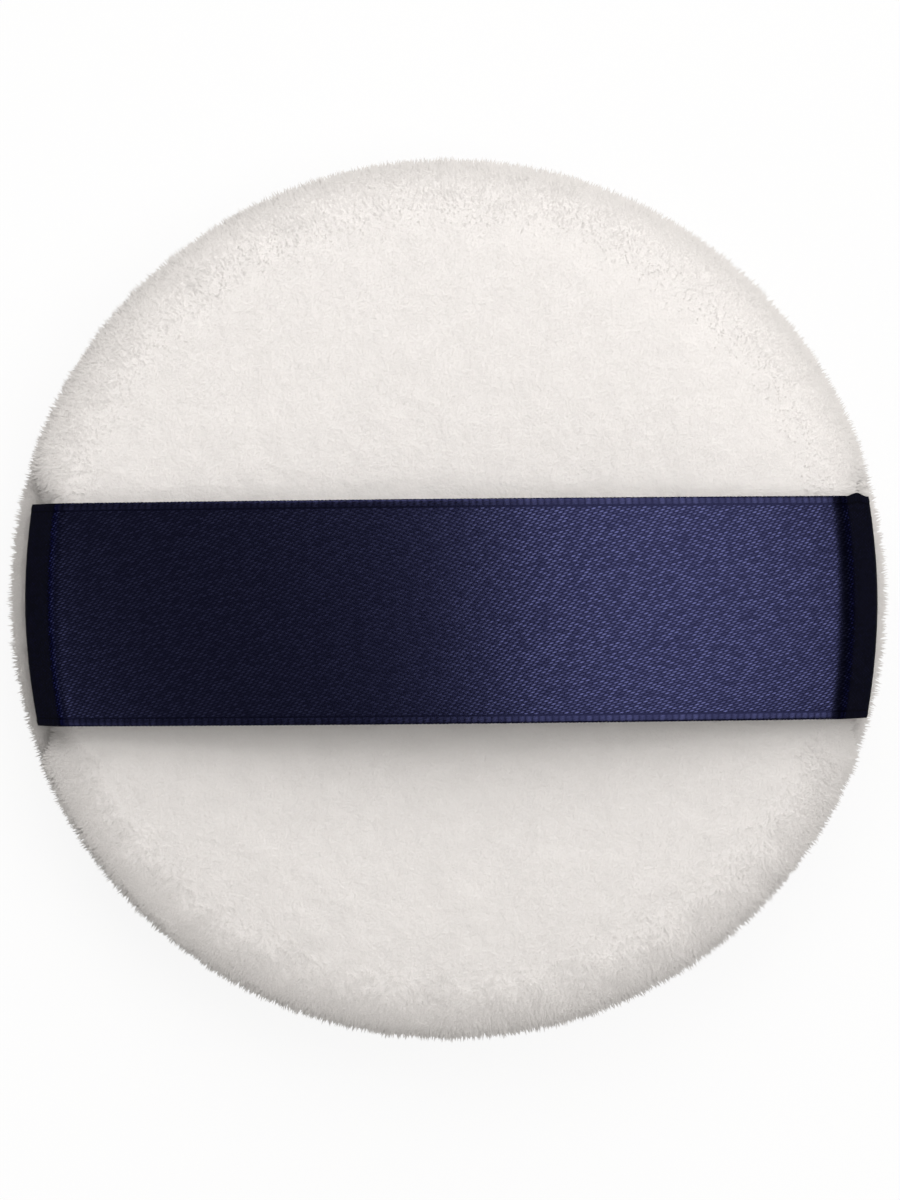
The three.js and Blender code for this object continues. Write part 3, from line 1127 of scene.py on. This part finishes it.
@dataclass(frozen=True)
class PlushCover:
    """One round velour cover, swollen by the filling and turned in at the seam."""

    side: Side
    form: PuffForm
    strap: FingerStrap
    plush: PlushFinish
    piles: dict[PileZone, VelourPile] = field(default_factory=lambda: {
        PileZone.CROWN: VelourPile(0.23 * MM, 0.45 * MM, 0.055 * MM, clump_lean=2.0, loose_lean=0.8),
        PileZone.RIM: VelourPile(
            0.21 * MM, 0.6 * MM, 0.12 * MM, clump_lean=1.3, loose_lean=0.45,
            tones=(0.57, 0.68), clump_tone=0.6, inner_tone=0.11, up_facing=4.0,
        ),
    })
    seeds: dict[Side, int] = field(default_factory=lambda: {Side.BACK: 10, Side.FACE: 40})
    seed_step: int = 10
    pressure: FillingPressure = FillingPressure()
    rim_inset: float = -0.75 * MM
    sunk: float = 1.15 * MM
    rest_gap: float = 0.03 * MM
    wall: float = 1.2 * MM
    allowance: float = 0.85 * MM
    allowance_inset: float = 0.8 * MM
    allowance_height: float = 1.0 * MM
    seam_depth: float = 0.3 * MM
    sewn_bulges: float = 1.6
    crown_steps: int = 30
    rim_steps: int = 7
    tail_shares: tuple[float, ...] = (0.33, 0.67, 1.0)
    round_steps: int = 128
    zone_radius: float = 35.5 * MM
    zone_blend: float = 5 * MM
    lip_inset: float = 0.9 * MM
    lip_height: float = 0.5 * MM
    groove_reach: float = 1.5
    edge_start: float = 37.4 * MM
    strap_room: float = 0.8 * MM
    bare_height: float = 4.5 * MM
    edge_softness: float = 4.0 * MM
    sewn_group: str = "sewn"
    wall_group: str = "wall"

    @property
    def node(self) -> str:
        """Give the name of the CAD node that this cover stands for."""
        return f"{self.side.label}_cover"

    def outline(self) -> list[Vector]:
        """Work out the section of the dense pile, from the pole over the rim to the raw edge.

        Returns:
            The points, in the XZ plane.
        """
        form, up = self.form, self.side.value
        points = form.crown(self.side, self.rim_inset, self.sunk, self.crown_steps)
        bulge = form.bulges[self.side]
        inner = form.seam_radius - self.seam_depth
        drawn = form.radius - self.rim_inset - inner
        for angle in quarter(self.rim_steps)[1:]:
            height = bulge - (bulge - form.seam_gap) * math.sin(angle)
            across = inner + drawn * math.cos(angle)
            points.append(Vector((across, 0.0, form.seam_height + up * height)))
        tail = points[-1].z
        for share in self.tail_shares:
            across = inner + (form.raw_edge_radius - inner) * share
            points.append(Vector((across, 0.0, tail)))
        return points

    def sheet(self) -> bpy.types.Object:
        """Model the cover's surface, swell it and press it where the strap lies.

        Returns:
            The surface, with the groups and attributes that the wall and the pile need.
        """
        shape = spun(self.outline(), self.round_steps)
        shape.faces.ensure_lookup_table()
        pole = max(shape.faces, key=lambda each: self.side.value * each.calc_center_median().z)
        if pole.normal.z * self.side.value < 0:
            bmesh.ops.reverse_faces(shape, faces=shape.faces)
        sheet = built(f"{self.side.label}_sheet", shape)
        self._mark_seam(sheet)
        self.pressure.swell(sheet, self.sewn_group)
        finer = sheet.modifiers.new("Finer", "SUBSURF")
        finer.levels = finer.render_levels = 1
        settle(sheet)
        self._press(sheet)
        self._mark_pile(sheet)
        return sheet

    def _above_seam(self, place: Vector) -> float:
        """Give how far a place lies above or below the seam."""
        return abs(place.z - self.form.seam_height)

    def _mark_seam(self, sheet: bpy.types.Object) -> None:
        """Mark what the seam holds, and where the cover is as thin as an allowance.

        Args:
            sheet: The cover's surface.
        """
        sewn = sheet.vertex_groups.new(name=self.sewn_group)
        wall = sheet.vertex_groups.new(name=self.wall_group)
        sewn_height = self.sewn_bulges * self.form.bulges[self.side]
        sewn_in = self.form.seam_radius - self.allowance_inset
        for vertex in sheet.data.vertices:
            height = self._above_seam(vertex.co)
            sewn.add([vertex.index], 1 - ease(height / sewn_height), "REPLACE")
            thin = vertex.co.xy.length < sewn_in and height < self.allowance_height
            wall.add([vertex.index], self.allowance / self.wall if thin else 1.0, "REPLACE")

    def _press(self, sheet: bpy.types.Object) -> None:
        """Press the cover in behind the strap's feet and flat where it rests.

        Args:
            sheet: The cover's surface.
        """
        floor = self.form.seam_height - self.form.heights[self.side] + self.rest_gap
        for vertex in sheet.data.vertices:
            if self.side is Side.FACE:
                vertex.co.z = max(vertex.co.z, floor)
                continue
            flat = self.strap.flat_place(vertex.co)
            over = abs(flat.x) - self.strap.inner_face(vertex.co) + self.strap_room
            if over > 0:
                within = (self.strap.width / 2 - abs(flat.y)) / self.edge_softness + 1
                vertex.co.x -= math.copysign(over * ease(within), flat.x)
        sheet.data.update()

    def _grows(self, place: Vector) -> bool:
        """Tell where tips grow: outside the seam, and not behind the strap's feet.

        Args:
            place: A place on the cover's surface.

        Returns:
            Whether tips grow there.
        """
        height = self._above_seam(place)
        flat = self.strap.flat_place(place)
        behind = abs(flat.x) > self.strap.crease.x and abs(flat.y) < self.strap.width / 2
        if self.side is Side.BACK and behind and height < self.bare_height:
            return False
        return height > self.lip_height or place.xy.length > self.form.seam_radius - self.lip_inset

    def _mark_pile(self, sheet: bpy.types.Object) -> None:
        """Mark how densely each zone's tips grow, how long they are, and how near the edge or the seam's
        groove, which sets their painted shade.

        Args:
            sheet: The cover's surface.
        """
        names = [*(zone.value for zone in PileZone), REACH, EDGE]
        for name in names:
            sheet.data.attributes.new(name, "FLOAT", "POINT")
        crown, rim, reach, edge = (sheet.data.attributes[name].data for name in names)
        edge_width = self.form.radius - self.rim_inset - self.edge_start
        for vertex in sheet.data.vertices:
            out = vertex.co.xy.length
            grows = float(self._grows(vertex.co))
            in_rim = ease((out - self.zone_radius) / self.zone_blend + 0.5)
            in_groove = ease(1 - self._above_seam(vertex.co) / self.form.bulges[self.side])
            reach[vertex.index].value = 1 + (self.groove_reach - 1) * in_groove
            # This value drives the painted shade towards the edge and in the seam's groove.
            edge[vertex.index].value = max(min((out - self.edge_start) / edge_width, 1.0), in_groove)
            rim[vertex.index].value = grows * in_rim
            crown[vertex.index].value = grows * (1 - in_rim)

    def _soften(self, cover: bpy.types.Object, outer: int) -> None:
        """Turn the normals of the dense pile upwards, as those of the tips above it are.

        Args:
            cover: The cover with its wall.
            outer: Number of its vertices that lie on the outer surface, which come first.
        """
        rim_share = cover.data.attributes[PileZone.RIM.value].data
        crown_up, rim_up = (self.piles[zone].up_facing for zone in PileZone)
        normals = []
        for vertex in cover.data.vertices:
            normal = vertex.normal.copy()
            if vertex.index < outer:
                share = rim_share[vertex.index].value
                normal.z += (crown_up + (rim_up - crown_up) * share) * min(1 + normal.z, 1.0)
            normals.append(normal.normalized())
        cover.data.normals_split_custom_set_from_vertices(normals)

    def build(self) -> list[bpy.types.Object]:
        """Model the cover and its loose tips, dress them and fasten them to the puff.

        Returns:
            The cover and the pieces of its pile.
        """
        cover = self.sheet()
        tips = self.plush.tips()
        pieces = []
        for place, zone in enumerate(PileZone):
            name = f"{self.side.label}_{zone.value}_pile"
            seed = self.seeds[self.side] + place * self.seed_step
            pieces.append(self.piles[zone].grow(cover, name, zone, seed))
            dress(pieces[-1], tips)
        cover.name = f"{self.side.label}_velour"
        wall = cover.modifiers.new("Wall", "SOLIDIFY")
        wall.thickness = self.wall
        wall.offset = -1.0
        wall.vertex_group = self.wall_group
        outer = len(cover.data.vertices)
        settle(cover)
        self._soften(cover, outer)
        dress(cover, self.plush.ground())
        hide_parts(self.node)
        for piece in (cover, *pieces):
            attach(piece, "puff")
        return [cover, *pieces]


@dataclass(frozen=True)
class Filling:
    """Foam core and the two layers of wadding that it lies between."""

    foam: FillingFinish = FillingFinish("Cream foam", (0.9, 0.84, 0.7), 0.5 * MM, 0.25 * MM)
    wadding: FillingFinish = FillingFinish("White wadding", (0.93, 0.93, 0.9), 0.8 * MM, 0.4 * MM)
    core_round: float = 1.2 * MM
    crown_fullness: float = 2.4
    lump_size: float = 5 * MM
    lump_depth: float = 0.12 * MM
    flat_shares: tuple[float, ...] = (0.0, 0.2, 0.4, 0.6, 0.8)
    round_steps: int = 96
    edge_steps: int = 6
    crown_steps: int = 24

    def _core_outline(self, low: Vector, high: Vector) -> list[Vector]:
        """Work out the core's section, a disc with rounded edges.

        Args:
            low: Lowest corner of the core's box.
            high: Highest corner of it.

        Returns:
            The points, in the XZ plane.
        """
        inner, middle = high.x - self.core_round, (low.z + high.z) / 2
        half = high.z - middle - self.core_round
        edge = []
        for step in range(2 * self.edge_steps + 1):
            angle = math.pi / 2 * (1 - step / self.edge_steps)
            across = inner + self.core_round * math.cos(angle)
            height = middle + math.copysign(half, math.sin(angle)) + self.core_round * math.sin(angle)
            edge.append(Vector((across, 0.0, height)))
        top = [Vector((inner * share, 0.0, high.z)) for share in self.flat_shares]
        bottom = [Vector((inner * share, 0.0, low.z)) for share in reversed(self.flat_shares)]
        return [*top, *edge, *bottom]

    def _wadding_outline(self, low: Vector, high: Vector, side: Side) -> list[Vector]:
        """Work out a wadding layer's section, crowned outwards and flat on the core.

        Args:
            low: Lowest corner of the layer's box.
            high: Highest corner of it.
            side: The layer's side.

        Returns:
            The points, in the XZ plane.
        """
        outer, inner = (high.z, low.z) if side is Side.BACK else (low.z, high.z)
        crown = []
        for angle in quarter(self.crown_steps):
            across = high.x * math.sin(angle) ** (2 / self.crown_fullness)
            crown.append(Vector((across, 0.0, inner + (outer - inner) * math.cos(angle))))
        base = [Vector((high.x * share, 0.0, inner)) for share in reversed(self.flat_shares)]
        return [*crown, *base]

    def _piece(
        self, node: str, outline: Sequence[Vector], finish: FillingFinish
    ) -> bpy.types.Object:
        """Turn an outline, make it lumpy, and let it stand for a node.

        Args:
            node: CAD node that the piece stands for.
            outline: Section in the XZ plane, from pole to pole.
            finish: The piece's finish.

        Returns:
            The piece.
        """
        shape = spun(outline, self.round_steps)
        shape.normal_update()
        for vertex in shape.verts:
            lump = noise.noise(vertex.co / self.lump_size) - 1
            vertex.co += vertex.normal * (lump * self.lump_depth)
        piece = built(f"{node}_fill", shape)
        dress(piece, finish.material())
        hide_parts(node)
        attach(piece, "puff")
        return piece

    def build(self) -> list[bpy.types.Object]:
        """Model the core and the wadding.

        Returns:
            The three pieces.
        """
        core = self._core_outline(*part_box("foam_core"))
        pieces = [self._piece("foam_core", core, self.foam)]
        for side in Side:
            node = f"{side.label}_wadding"
            outline = self._wadding_outline(*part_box(node), side)
            pieces.append(self._piece(node, outline, self.wadding))
        return pieces


@dataclass(frozen=True)
class Sewing:
    """Threads of the seam and of the strap's tacks, which keep their CAD solids."""

    seam: ThreadFinish = ThreadFinish("Off-white thread", (0.84, 0.80, 0.74))
    tack: ThreadFinish = ThreadFinish("Navy thread", (0.012, 0.013, 0.045))

    def build(self) -> list[bpy.types.Object]:
        """Dress the threads.

        Returns:
            The dressed nodes.
        """
        nodes = frame["nodes"]
        seam = [nodes[name] for name in ("needle_thread", "bobbin_thread", "closing_stitch")]
        tacks = [nodes[f"{end}_strap_tack"] for end in ("left", "right")]
        for pieces, finish in ((seam, self.seam), (tacks, self.tack)):
            material = finish.material()
            for piece in pieces:
                dress(piece, material)
        return seam + tacks


@dataclass(frozen=True)
class Lamp:
    """A soft square lamp that faces the puff, with its side in metres and its power in watts."""

    name: str
    place: Place
    size: float
    power: float
    colour: Colour = (1.0, 0.985, 0.975)

    def build(self) -> None:
        """Hang the lamp in its place."""
        data = bpy.data.lights.new(self.name, "AREA")
        data.size = self.size
        data.energy = self.power
        data.color = self.colour
        lamp = linked(self.name, data)
        lamp.location = self.place
        lamp.rotation_euler = (-Vector(self.place)).to_track_quat("-Z", "Y").to_euler()


@dataclass(frozen=True)
class Studio:
    """Pale floor, soft lamps and a camera straight above the puff."""

    form: PuffForm
    lamps: tuple[Lamp, ...] = (
        Lamp("Key", (0.05, 0.66, 0.70), 0.85, 6.9),
        Lamp("Side", (0.42, 0.02, 0.84), 0.68, 4.2),
        Lamp("Fill", (-0.75, -0.35, 0.5), 0.6, 1.2, (1.0, 0.985, 0.97)),
    )
    room_light: Colour = (1.0, 0.97, 0.93)
    room_strength: float = 0.16
    distance: float = 0.65
    view_height: float = 109.7 * MM
    view_end: float = 50.0
    aim: tuple[float, float] = (0.18 * MM, -0.09 * MM)
    floor_size: float = 40.0
    floor_colour: Colour = (0.9, 0.9, 0.9)
    shadow_share: float = 0.10

    def camera(self) -> None:
        """Set the camera straight above, with the photograph's frame at the seam's height."""
        data = bpy.data.cameras.new("Camera")
        data.lens = data.sensor_width * self.distance / self.view_height
        data.clip_end = self.view_end
        camera = linked("Camera", data)
        camera.location = (*self.aim, self.form.seam_height + self.distance)
        bpy.context.scene.camera = camera

    def floor(self) -> None:
        """Add the floor, which the camera sees as white with the puff's soft shadow on it."""
        shape = bmesh.new()
        bmesh.ops.create_grid(shape, x_segments=1, y_segments=1, size=self.floor_size / 2)
        floor = built("floor", shape)
        material, graph = new_material("Floor")
        seen = graph.node("ShaderNodeLightPath", output="Is Camera Ray")
        straight = seen + seen.out("Is Glossy Ray") + seen.out("Is Transmission Ray")
        share = graph.math("MINIMUM", straight, 1.0) * (1 - self.shadow_share)
        plain = graph.node("ShaderNodeBsdfDiffuse", {}, {"Color": self.floor_colour})
        white = graph.node("ShaderNodeEmission", {}, {"Color": WHITE, "Strength": 1.0})
        surface = graph.node("ShaderNodeMixShader", {}, {0: share, 1: plain, 2: white})
        graph.node("ShaderNodeOutputMaterial", {}, {"Surface": surface})
        dress(floor, material)

    def world(self) -> None:
        """Fill the room with a little even light."""
        world = bpy.data.worlds.new("Room")
        world.use_nodes = True
        world.node_tree.nodes.clear()
        graph = Graph(world.node_tree)
        inputs = {"Color": self.room_light, "Strength": self.room_strength}
        light = graph.node("ShaderNodeBackground", {}, inputs)
        graph.node("ShaderNodeOutputWorld", {}, {"Surface": light})
        bpy.context.scene.world = world

    def build(self) -> None:
        """Set up the camera, the floor and the light."""
        bpy.context.scene.view_settings.view_transform = "Standard"
        self.camera()
        self.floor()
        self.world()
        for lamp in self.lamps:
            lamp.build()


def main() -> None:
    """Build the puff's pieces in order and report each."""
    logging.basicConfig(level=logging.INFO, format="%(name)s: %(message)s")
    form = PuffForm.from_frame()
    Studio(form).build()
    strap = FingerStrap.from_frame(form)
    plush = PlushFinish()
    pieces = []
    for side in Side:
        pieces += PlushCover(side, form, strap, plush).build()
    pieces.append(strap.build())
    pieces += Filling().build()
    pieces += Sewing().build()
    for piece in pieces:
        LOG.info("%s: %d faces", piece.name, len(piece.data.polygons))


if __name__ == "__main__":
    main()
